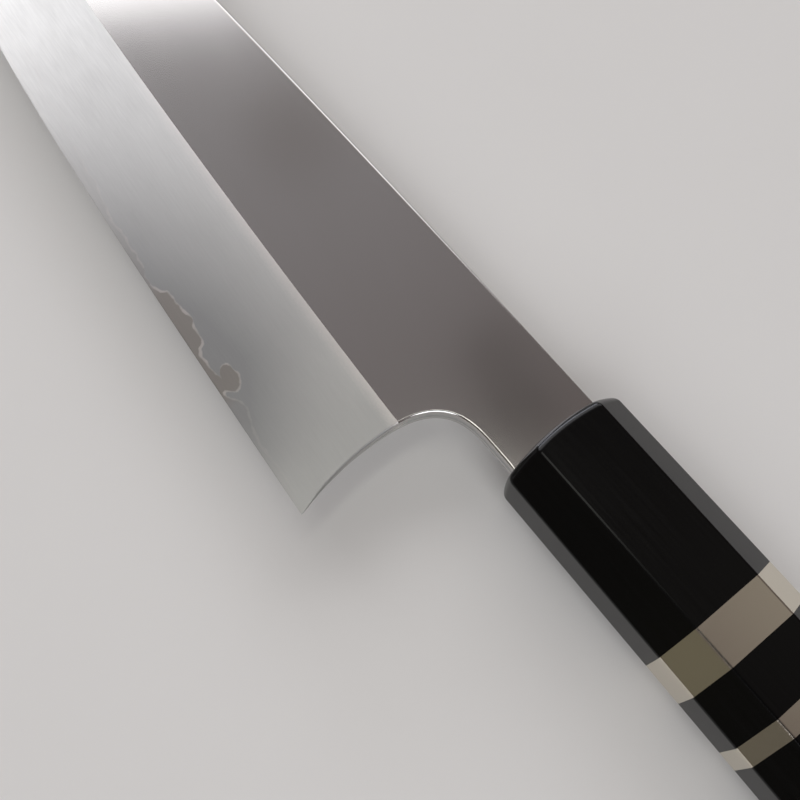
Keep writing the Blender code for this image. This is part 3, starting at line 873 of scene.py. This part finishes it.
def stone_finish(name, dark, light):
    """A hazy, streaked steel with painted shade in its haze, and the light lines of ridge and weld drawn
    over it. The ridge lines are partly a painted highlight.
    """
    material, tree, shader = new_material(name, Metallic=1.0)
    contrast, haze, border, ridge_gap, line_gap = (
        add_node(tree, "ShaderNodeAttribute", attribute_name=layer).outputs["Fac"]
        for layer in ("steel_contrast", "haze_painted_shade", "ridge_border", "ridge_gap", "line_gap")
    )
    streaks, clouds, speckle, patches = (streak_noise(tree, *marks) for marks in STONE_MARKS)
    # The haze's tone is painted shade: lighter under the ridge and darker towards the edge, partly the
    # stones' own tone and mostly the shade of what the bevel mirrors.
    even, own = (
        add_node(tree, "ShaderNodeMix", {0: haze, 6: colour(a), 7: colour(b)}, data_type="RGBA")
        for a, b in ((HAZE_PAINTED_SHADED, HAZE_PAINTED_LIT), (dark, light))
    )
    tone = add_node(tree, "ShaderNodeMix", {
        0: contrast, 6: even.outputs[2], 7: own.outputs[2],
    }, data_type="RGBA").outputs[2]

    # How strongly each coat shows: the darker streaks, the rim's specks, and the weld's patches
    both = add_node(tree, "ShaderNodeMath", {0: streaks, 1: clouds}, operation="ADD").outputs["Value"]
    streaked, along, specks, patchy = (
        add_node(tree, "ShaderNodeMapRange", {
            "Value": value, "From Min": start, "From Max": end, "To Min": low, "To Max": high,
        }).outputs["Result"]
        for value, start, end, low, high in (
            (both, 0.7, 1.3, 0.0, STREAK_SHARE),
            (border, 0.0, 1.0, *STREAK_SHARES_ALONG),
            (speckle, 0.4, 0.62, 0.0, 1.0),
            (patches, 0.38, 0.6, 0.42, 1.0),
        )
    )
    faint = add_node(tree, "ShaderNodeMath", {0: contrast, 1: WELD_FAINTNESS}, operation="POWER")
    coats = [(STREAK_DARK, (streaked, along))]

    # The light lines: colour, strength, distance, where the line fades from and to, its noise
    # and how much of it, and what else its strength follows
    light_lines = (
        # The two ridge lines are partly stone marks and partly a painted highlight of the softened ridge
        # corner
        ("#e3dfdc", 0.8, ridge_gap, 0.0, 2.25, speckle, 1.3, (border,)),
        ("#ece8e5", 1.0, ridge_gap, 0.0, 0.4, speckle, 0.3, (border, specks)),
        ("#d1ccc9", 0.7, line_gap, 0.05, 0.28, patches, -0.8, (patchy, faint.outputs["Value"])),
    )
    for tint, strength, gap, near, far, noise, ragged, factors in light_lines:
        uneven = add_node(tree, "ShaderNodeMath", {0: noise, 1: ragged, 2: gap}, operation="MULTIPLY_ADD")
        fade = add_node(tree, "ShaderNodeMapRange", {
            "Value": uneven.outputs["Value"], "From Min": near + ragged / 2,
            "From Max": far + ragged / 2, "To Min": strength, "To Max": 0.0,
        }, interpolation_type="SMOOTHSTEP")
        coats.append((tint, (fade.outputs["Result"], *factors)))

    for tint, (share, *factors) in coats:
        for factor in factors:
            product = add_node(tree, "ShaderNodeMath", {0: share, 1: factor}, operation="MULTIPLY")
            share = product.outputs["Value"]
        painted = add_node(tree, "ShaderNodeMix", {0: share, 6: tone, 7: colour(tint)}, data_type="RGBA")
        tone = painted.outputs[2]
    tree.links.new(tone, shader.inputs["Base Color"])
    follow_grain(tree, shader, streaks, STONE_GLOSS, STONE_RELIEF)
    return material


POLISHED_STEEL = grained_finish(
    "mirror_polished_stainless", (30.0, 6.0, 12.0, 2.0), "#cbc9c8", "#c6c4c2",
    gloss=(0.129, 0.141), Metallic=1.0,
)
BEVEL_STEEL = stone_finish("stainless_haze_with_painted_light", HAZE_PAINTED_SHADED, HAZE_PAINTED_LIT)
CORE_STEEL = stone_finish("core_steel_haze_with_painted_light", CORE_PAINTED_SHADED, CORE_PAINTED_LIT)
print("steels:", POLISHED_STEEL.name, BEVEL_STEEL.name, CORE_STEEL.name)

# %% [markdown]
# ## The three layers of the blade
#
# Each layer becomes a closed mesh. A cladding has its skin on the outside and the weld inside,
# with walls along the spine, the choil and the neck. The core shows its bare strip along the edge
# and lies hidden under both claddings. The pieces meet at the wavy line without a step, as forge
# welded steel does.

# %% Blade pieces
LEAST_DEPTH = 1e-7


def add_sheet(shape, side, heights, triangles, slots):
    """Adds one sheet of triangles and returns the shape's point for each plan point."""
    made = {}
    for triangle in triangles:
        for index in triangle:
            if index not in made:
                made[index] = shape.add_point(side.point(index, heights))
        zone = side.zone(triangle)
        directions = [side.directions[zone][index] for index in triangle]
        shape.add_face([made[index] for index in triangle], directions, slots[zone])
    return made


def outline_steps():
    """The two outline points of each step, and the directions that a wall faces there."""
    for index in range(len(OUTLINE)):
        pair = (index, (index + 1) % len(OUTLINE))
        yield pair, [(*OUTWARD[i], 0.0) for i in pair]


def add_wall(shape, uppers, lowers, outs):
    """A wall between two sheets over one step. Where they meet in a point, it is a triangle."""
    corners = {uppers[0]: outs[0], uppers[1]: outs[1], lowers[1]: outs[1], lowers[0]: outs[0]}
    if len(corners) > 2:
        shape.add_face(list(corners), list(corners.values()))


def steel_layers(shape, parts):
    """The values that the steels read, at each of a shape's points."""
    result = {}
    for side, made in parts:
        polish = polish_values(side.plan.x, side.plan.y)
        values = {"line_gap": side.line_gap, "ridge_gap": np.abs(side.ridge_gap), **polish}
        for layer, numbers in values.items():
            row = result.setdefault(layer, [1.0] * len(shape.points))
            for index, point in made.items():
                row[point] = float(numbers[index])
    return result


def make_cladding(node, side):
    """The skin over the weld, on one side."""
    shape = Shape()
    plan = side.plan
    covered = [triangle for triangle, bare in zip(plan.triangles, plan.bare) if not bare]
    skin = add_sheet(shape, side, side.skin, covered, {"flat": 0, "bevel": 1, "sharpened": 1})
    inner = {}
    for triangle in covered:
        for index in triangle:
            if index not in inner:
                apart = side.skin[index] - side.weld[index] > LEAST_DEPTH
                inner[index] = shape.add_point(side.point(index, side.weld)) if apart else skin[index]
        corners = [inner[index] for index in triangle]
        if corners != [skin[index] for index in triangle]:
            shape.add_face(corners, [(0.0, 0.0, -side.hand)] * 3, 1)
    for pair, outs in outline_steps():
        ends = [plan.on_outline[i] for i in pair]
        if all(i in skin for i in ends):
            add_wall(shape, [skin[i] for i in ends], [inner[i] for i in ends], outs)
    layers = steel_layers(shape, [(side, inner), (side, skin)])
    shape.finish(node + "_steel", (POLISHED_STEEL, BEVEL_STEEL), node, layers)


def make_core():
    """The hard sheet between the claddings, bare along the edge."""
    shape = Shape()
    sheets = []
    for side in (LEFT, RIGHT):
        bare = np.zeros(len(side.plan.x), dtype=bool)
        for triangle, shown in zip(side.plan.triangles, side.plan.bare):
            if shown:
                bare[list(triangle)] = True
        heights = np.where(bare, side.skin, side.weld)
        sheets.append(add_sheet(shape, side, heights, side.plan.triangles, dict.fromkeys(SURFACES, 0)))
    for pair, outs in outline_steps():
        tops = [sheets[0][LEFT.plan.on_outline[i]] for i in pair]
        bottoms = [sheets[1][RIGHT.plan.on_outline[i]] for i in pair]
        if sum(shape.points[i][2] for i in tops) > LEAST_DEPTH:
            add_wall(shape, tops, bottoms, outs)
    layers = steel_layers(shape, zip((LEFT, RIGHT), sheets))
    shape.finish("core_steel", (CORE_STEEL,), "core_steel_blade", layers)


make_cladding("left_cladding", LEFT)
make_cladding("right_cladding", RIGHT)
make_core()

# %% [markdown]
# ## The octagonal handle
#
# The handle is turned by hand on a belt: eight flat sides that widen towards the butt. Its
# corners are eased by 0.8 millimetres, just enough to catch a thread of light. We loft
# sections along the axis. A section is an octagon whose corners are short arcs, so each point
# lies on an arc and knows its own shading direction, and the flat sides between stay flat.

# %% Handle section
FRONT_HEIGHT = 22.1
FRONT_WIDTH = 17.5
FRONT_CORNER = 4.9
BUTT_HEIGHT = 24.0
BUTT_WIDTH = 19.5
BUTT_CORNER = 6.2
CORNER_EASE = 0.8
CORNER_STEPS = 5
SIDE_SLOPE = (BUTT_HEIGHT - FRONT_HEIGHT) / 2 / BUTT_X


def octagon(x, inset):
    """The eight corners at x, with every side moved in by the inset."""
    along = x / BUTT_X
    half_height = mix(FRONT_HEIGHT, BUTT_HEIGHT, along) / 2 - inset
    half_width = mix(FRONT_WIDTH, BUTT_WIDTH, along) / 2 - inset
    corner = mix(FRONT_CORNER, BUTT_CORNER, along) - inset * (2 - math.sqrt(2))
    quarter = [(half_height, half_width - corner), (half_height - corner, half_width)]
    half = quarter + [(-y, z) for y, z in reversed(quarter)]
    return half + [(-y, -z) for y, z in half]


def section(x, inset, side_steps=1):
    """Points at x, and the direction that the side faces at each."""
    points = []
    directions = []
    centres = octagon(x, inset + CORNER_EASE)
    for corner, (y, z) in enumerate(centres):
        for step in range(CORNER_STEPS + 1):
            angle = math.radians(45 * (corner + step / CORNER_STEPS))
            facing = Vector((-SIDE_SLOPE, math.cos(angle), math.sin(angle)))
            points.append(Vector((x, y + CORNER_EASE * facing.y, z + CORNER_EASE * facing.z)))
            directions.append(facing)
        start = points[-1]
        end = start + Vector((0.0, *centres[(corner + 1) % 8])) - Vector((0.0, y, z))
        for step in range(1, side_steps):
            points.append(start.lerp(end, step / side_steps))
            directions.append(facing)
    return points, directions


for place, height, corner in (("ferrule", FRONT_HEIGHT, FRONT_CORNER), ("butt", BUTT_HEIGHT, BUTT_CORNER)):
    print(f"side face {height - 2 * corner:.1f} mm wide at the {place}")

# %% [markdown]
# Every piece of the stack is such a loft with a round bore for the dowel. Only the ends that are
# bare are rounded: the ferrule's front rim and the butt. Where two pieces meet, the maker grinds
# them flush after gluing, so the joint is a hairline. Each end has a small function that says, for
# a place on it, how far back the surface lies and which way it faces.

# %% Handle piece builder
RIM_STEPS = 8
JOINT_GAP = 0.02
BORE_RADIUS = 6.5
BORE_SIDES = 64


def flat_front(y, z):
    return 0.0, Vector((-1.0, 0.0, 0.0))


def flat_back(y, z):
    return 0.0, Vector((1.0, 0.0, 0.0))


def add_ring(shape, points):
    return [shape.add_point(point) for point in points]


def bridge(shape, ring_a, ring_b, directions_a, directions_b):
    """Faces between two closed rings with as many points."""
    count = len(ring_a)
    for index in range(count):
        after = (index + 1) % count
        corners = [ring_a[index], ring_a[after], ring_b[after], ring_b[index]]
        turned = [directions_a[index], directions_a[after], directions_b[after], directions_b[index]]
        shape.add_face(corners, turned)


def cap_between(shape, outer, inner, end, extra=()):
    """An end with a hole in it, or without one if the inner ring is empty.

    extra holds more places within the cap, which get a point only if they lie between the rings.
    """
    ring = outer + inner
    places = [Vector((shape.points[i][1], shape.points[i][2])) for i in ring]
    loops = [list(range(len(outer)))]
    if inner:
        loops.append([len(outer) + i for i in range(len(inner))])
    edges = [(loop[i], loop[(i + 1) % len(loop)]) for loop in loops for i in range(len(loop))]
    result = delaunay_2d_cdt(places + list(extra), edges, loops, 1, MERGE_DISTANCE)
    corner_of = {}
    for triangle, sources in zip(result[2], result[5]):
        if 0 not in sources or 1 in sources:
            continue
        ends = [end(*result[0][index]) for index in triangle]
        for index, (depth, _) in zip(triangle, ends):
            source = result[3][index][0]
            if index not in corner_of and source < len(ring):
                corner_of[index] = ring[source]
            elif index not in corner_of:
                corner_of[index] = shape.add_point((depth, *result[0][index]))
        shape.add_face([corner_of[index] for index in triangle], [facing for _, facing in ends])


def circle(x, radius):
    turns = [math.tau * i / BORE_SIDES for i in range(BORE_SIDES)]
    return [(x, radius * math.cos(t), radius * math.sin(t)) for t in turns]


def add_bore(shape, x_front, x_back):
    """A round wall that faces the axis."""
    front, back = (add_ring(shape, circle(x, BORE_RADIUS)) for x in (x_front, x_back))
    inwards = [(0.0, -y, -z) for _, y, z in circle(0.0, 1.0)]
    bridge(shape, front, back, inwards, inwards)
    return front, back


def rim_stations(radius):
    """Distance in and inset from the end to the side, and the turn: a quarter at the end, then 0."""
    if not radius:
        return [(0.0, 0.0, 0.0)]
    turns = [(1 - step / RIM_STEPS) * math.pi / 2 for step in range(RIM_STEPS + 1)]
    return [(radius * (1 - math.sin(turn)), radius * (1 - math.cos(turn)), turn) for turn in turns]


def add_outside(shape, x_front, x_back, front_round=0.0, back_round=0.0, front_end=flat_front, side_steps=1):
    """The octagon's outside from front to back. Returns both end rings.

    A round rim turns from the end to the side. A domed front end moves its points back.
    """
    stations = [(x_front + away, *rest, front_end) for away, *rest in rim_stations(front_round)]
    stations += [(x_back - away, *rest, flat_back) for away, *rest in rim_stations(back_round)[::-1]]
    rings = []
    for x, inset, turn, end in stations:
        points, sides = section(x, inset, side_steps)
        ends = [end(point.y, point.z) for point in points]
        places = [point + Vector((depth, 0.0, 0.0)) for point, (depth, _) in zip(points, ends)]
        facing = [math.cos(turn) * side + math.sin(turn) * out for side, (_, out) in zip(sides, ends)]
        rings.append((add_ring(shape, places), facing))
    for (ring_a, directions_a), (ring_b, directions_b) in zip(rings[:-1], rings[1:]):
        bridge(shape, ring_a, ring_b, directions_a, directions_b)
    return rings[0][0], rings[-1][0]


# %% [markdown]
# ## Ebony and nickel silver
#
# The black wood is ebony, dense enough to polish like stone. Its pores are 0.1 mm wide and a few
# millimetres long, and they only show as a faint change of gloss. The rings are nickel silver, a
# copper alloy with a warm grey colour, sanded fine round the handle and polished.

# %% Handle materials
EBONY = grained_finish(
    "polished_ebony", (18.0, 0.5, 0.0, 4.0), "#020202", "#060606",
    gloss=(0.16, 0.24), relief=0.03, IOR=1.3,
)
NICKEL_SILVER = grained_finish(
    "nickel_silver", (0.3, 20.0, 0.0, 2.0), "#d1cabb", "#d6cfc1",
    gloss=(0.15, 0.18), relief=0.01, Metallic=1.0,
)
print("handle materials:", EBONY.name, NICKEL_SILVER.name)

# %% [markdown]
# ## Ferrule
#
# The ferrule takes the blade. Its front is sanded to a shallow dome with a rounded rim, so the
# edge that lies over the blade is a soft curve, and a slot in it fits the neck closely. Behind a
# solid front wall it is bored for the dowel.
#
# The dome is a shallow bowl shape, x = distance from the axis squared over twice its radius. Its
# cap needs points in the middle to follow that curve, so a small grid is added to it.

# %% Ferrule
STACK = ("ferrule", "wide_ring", "ring_spacer", "narrow_ring", "handle_body")
JOINTS = [
    from_start((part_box(piece)[1][0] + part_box(behind)[0][0]) / 2, 0)
    for piece, behind in zip(STACK[:-1], STACK[1:])
]
RIM_ROUND = 1.2
DOME_RADIUS = 35.0
DOME_GRID = 1.2
DOME_GRID_HALF = 8
FERRULE_SIDE_STEPS = 12
BUTT_ROUND = 1.0
FERRULE_WALL = 6.0
SLOT_GAP = 0.06
SLOT_CORNER = 0.5
SLOT_CORNER_STEPS = 4


def slot_ring(x, top, bottom):
    """A slot's outline, a rectangle with round corners, and the directions its wall faces."""
    half_height = (top - bottom) / 2 + SLOT_GAP
    half_width = HALF_THICK_NECK + SLOT_GAP
    middle = (top + bottom) / 2
    points = []
    inwards = []
    for corner, (sy, sz) in enumerate(((1, 1), (-1, 1), (-1, -1), (1, -1))):
        for step in range(SLOT_CORNER_STEPS + 1):
            angle = math.radians(90 * (corner + step / SLOT_CORNER_STEPS))
            y = middle + sy * (half_height - SLOT_CORNER) + SLOT_CORNER * math.cos(angle)
            z = sz * (half_width - SLOT_CORNER) + SLOT_CORNER * math.sin(angle)
            points.append((x, y, z))
            inwards.append((0.0, -math.cos(angle), -math.sin(angle)))
    return points, inwards


def add_slot(shape, x_front, x_back, top, bottom, front_end=flat_front):
    """A slot's walls. Returns its front and back rings."""
    points, inwards = slot_ring(x_front, top, bottom)
    front = add_ring(shape, [(x + front_end(y, z)[0], y, z) for x, y, z in points])
    back = add_ring(shape, slot_ring(x_back, top, bottom)[0])
    bridge(shape, front, back, inwards, inwards)
    return front, back


def ferrule_dome(y, z):
    """How far back the domed front lies at a place, and the direction that it faces."""
    facing = Vector((-1.0, y / DOME_RADIUS, z / DOME_RADIUS)).normalized()
    return (y * y + z * z) / (2 * DOME_RADIUS), facing


def make_ferrule():
    shape = Shape()
    end = JOINTS[0] - JOINT_GAP / 2
    step = NECK_SEAT + SHOULDER_RUN
    tang_top = TANG_FRONT_HEIGHT / 2
    front, back = add_outside(
        shape, 0.0, end, front_round=RIM_ROUND, front_end=ferrule_dome, side_steps=FERRULE_SIDE_STEPS
    )
    neck_front, neck_back = add_slot(shape, 0.0, step, SPINE_HEIGHT, NECK_BOTTOM_Y, ferrule_dome)
    tang_front, tang_back = add_slot(shape, step, FERRULE_WALL, tang_top, -tang_top)
    bore_front, bore_back = add_bore(shape, FERRULE_WALL, end)
    grid = [DOME_GRID * (i + 0.5) for i in range(-DOME_GRID_HALF, DOME_GRID_HALF)]
    cap_between(shape, front, neck_front, ferrule_dome, [Vector((y, z)) for y in grid for z in grid])
    cap_between(shape, neck_back, tang_front, flat_front)
    cap_between(shape, bore_front, tang_back, flat_back)
    cap_between(shape, back, bore_back, flat_back)
    shape.finish("ebony_ferrule", (EBONY,), "ferrule")


make_ferrule()

# %% [markdown]
# ## Rings, spacer and body
#
# Two rings and the spacer between them are plain slices of the stack. The body behind them is
# bored a hand's width deep for the dowel, and its butt is eased all round.

# %% Rings, spacer and body
BORE_END_X = from_start(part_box("handle_dowel")[1][0], 0)
SLICES = (
    ("wide_nickel_ring", NICKEL_SILVER, "wide_ring", "wide_ring_nickel_silver"),
    ("ebony_spacer", EBONY, "ring_spacer", "spacer_ebony"),
    ("narrow_nickel_ring", NICKEL_SILVER, "narrow_ring", "narrow_ring_nickel_silver"),
)


def make_slice(name, material, node, slot, front_joint, back_joint):
    shape = Shape()
    stretch = (front_joint + JOINT_GAP / 2, back_joint - JOINT_GAP / 2)
    front, back = add_outside(shape, *stretch)
    bore_front, bore_back = add_bore(shape, *stretch)
    cap_between(shape, front, bore_front, flat_front)
    cap_between(shape, back, bore_back, flat_back)
    shape.finish(name, (material,), node)


def make_body():
    shape = Shape()
    start = JOINTS[-1] + JOINT_GAP / 2
    front, back = add_outside(shape, start, BUTT_X, back_round=BUTT_ROUND)
    bore_front, bore_back = add_bore(shape, start, BORE_END_X)
    cap_between(shape, front, bore_front, flat_front)
    cap_between(shape, bore_back, [], flat_front)
    cap_between(shape, back, [], flat_back)
    shape.finish("ebony_handle_body", (EBONY,), "handle_body")


for row, front_joint, back_joint in zip(SLICES, JOINTS[:-1], JOINTS[1:]):
    make_slice(*row, front_joint, back_joint)
make_body()

# %% [markdown]
# ## The hidden dowel and seal
#
# The dowel and the resin seal keep their measured solids, which nothing outside shows. They still
# get real materials: pale magnolia wood with a fine straight grain, and dark resin.

# %% Hidden pieces
MAGNOLIA = grained_finish("magnolia_wood", (20.0, 0.6, 0.0, 4.0), "#a98c62", "#cdb48a", Roughness=0.6)
RESIN = grained_finish("setting_resin", (3.0, 3.0, 0.0, 2.0), "#2a1c10", "#3a2818", Roughness=0.3)

for node_name, material in (("handle_dowel", MAGNOLIA), ("tang_seal", RESIN)):
    for place in frame["nodes"][node_name].material_slots:
        place.material = material
    print(node_name, "wears", material.name)

# %% [markdown]
# ## Table and light
#
# The knife lies on a plain pale table. Polished steel shows whatever it faces, so the room
# matters more than the lamps. The ceiling is a dim warm grey that grows lighter past the tip, which
# gives the flat its deep tone. Darker and lighter patches on it are what the neck and the two
# visible faces of each ring mirror.
#
# Of the five soft boxes, the broad one beyond the tip makes the flat bloom to white there. The
# strip gives the ferrule its rim light, and the one overhead draws the thread of light along its
# corner. The other two light the haze of the bevel.

# %% Table
TABLE_SIZE = 2.6
TABLE_SIGNS = ((-1, -1), (1, -1), (1, 1), (-1, 1))


def make_table():
    half = TABLE_SIZE / 2
    data = bpy.data.meshes.new("table")
    data.from_pydata([(a * half, b * half, cad_low[2]) for a, b in TABLE_SIGNS], [], [(0, 1, 2, 3)])
    data.materials.append(grained_finish(
        "matt_pale_table", (60.0, 60.0, 0.0, 3.0), "#dfddda", "#e2e0dd", Roughness=0.85
    ))
    add_object("table", data)
    print(f"table {TABLE_SIZE} m square")


make_table()

# %% [markdown]
# Each soft box has its place in knife millimetres, its size in metres, its power and its colour.
# A patch of the ceiling is round. It has a direction, and two numbers that say how close to that
# direction it starts and is full. The directions are about one long, so these numbers are close to
# cosines, and 1 is straight in that direction.

# %% Lights
SOFT_BOXES = (
    ("box_beyond_tip", (-1722.0, 918.0, 1176.0), (3.0, 1.1), 23.5, "#fdfdff"),
    ("box_low_past_tip", (-1787.0, -242.0, 1254.0), (1.0, 0.8), 2.0, "#f9f8ff"),
    ("box_past_butt", (1773.0, -1222.0, 1794.0), (2.4, 1.8), 46.0, "#f8fbff"),
    ("strip_beyond_tip", (-1867.0, 769.0, 454.0), (0.8, 0.3), 8.0, "#eef2ff"),
    ("box_overhead", (-287.0, -192.0, 2154.0), (0.32, 1.56), 3.8, "#f9fbf2"),
)
STRAIGHT_DOWN = ("box_overhead",)
SKY_BASE = "#706765"
SKY_PATCHES = (
    ((-0.75, 0.3, 0.58), 0.75, 1.0, "#a29fa1", "LINEAR"),
    ((-0.515, 0.315, 0.797), 0.998, 0.9999, "#827c7b", "SMOOTHSTEP"),
    ((-0.26, 0.351, 0.8996), 0.9994, 0.99995, "#5b5553", "SMOOTHSTEP"),
    ((-0.202, 0.334, 0.9207), 0.9991, 0.9999, "#3d3836", "SMOOTHSTEP"),
    ((0.08, 0.5, 0.862), 0.975, 0.998, "#a19b94", "SMOOTHSTEP"),
    ((0.14, -0.3, 0.944), 0.93, 0.975, "#322e2c", "SMOOTHSTEP"),
    ((0.05, -0.94, 0.33), 0.91, 0.99, "#67635c", "SMOOTHSTEP"),
    ((0.055, -0.945, 0.325), 0.9985, 0.9999, "#7b7764", "SMOOTHSTEP"),
)


def add_soft_box(name, place, size, watts, tint):
    """A rectangular lamp, turned to the middle of the picture unless it faces straight down."""
    data = bpy.data.lights.new(name, "AREA")
    data.shape = "RECTANGLE"
    data.size, data.size_y = size
    data.energy = watts
    data.color = colour(tint)[:3]
    lamp = add_object(name, data)
    lamp.location = world(*place)
    towards = world(*CAMERA_LOOKS_AT) - lamp.location
    if name not in STRAIGHT_DOWN:
        lamp.rotation_euler = towards.to_track_quat("-Z", "Y").to_euler()
    print(f"{name}: {watts} W, {towards.length:.2f} m away")


def set_world():
    sky = bpy.data.worlds.new("dim_ceiling")
    sky.use_nodes = True
    tree = sky.node_tree
    place = add_node(tree, "ShaderNodeTexCoord")
    tone = colour(SKY_BASE)
    for direction, start, full, tint, fade in SKY_PATCHES:
        towards = add_node(tree, "ShaderNodeVectorMath", {
            0: place.outputs["Generated"], 1: direction,
        }, operation="DOT_PRODUCT")
        closeness = add_node(tree, "ShaderNodeMapRange", {
            "Value": towards.outputs["Value"], "From Min": start, "From Max": full,
        }, interpolation_type=fade)
        painted = add_node(tree, "ShaderNodeMix", {
            0: closeness.outputs["Result"], 6: tone, 7: colour(tint),
        }, data_type="RGBA")
        tone = painted.outputs[2]
    tree.links.new(tone, tree.nodes["Background"].inputs["Color"])
    bpy.context.scene.world = sky
    print(f"ceiling with {len(SKY_PATCHES)} patches")


for row in SOFT_BOXES:
    add_soft_box(*row)
set_world()

# %% [markdown]
# ## Finish
#
# The view transform stays Standard, so colours come out as they were written.

# %% Finish
bpy.context.scene.view_settings.view_transform = "Standard"
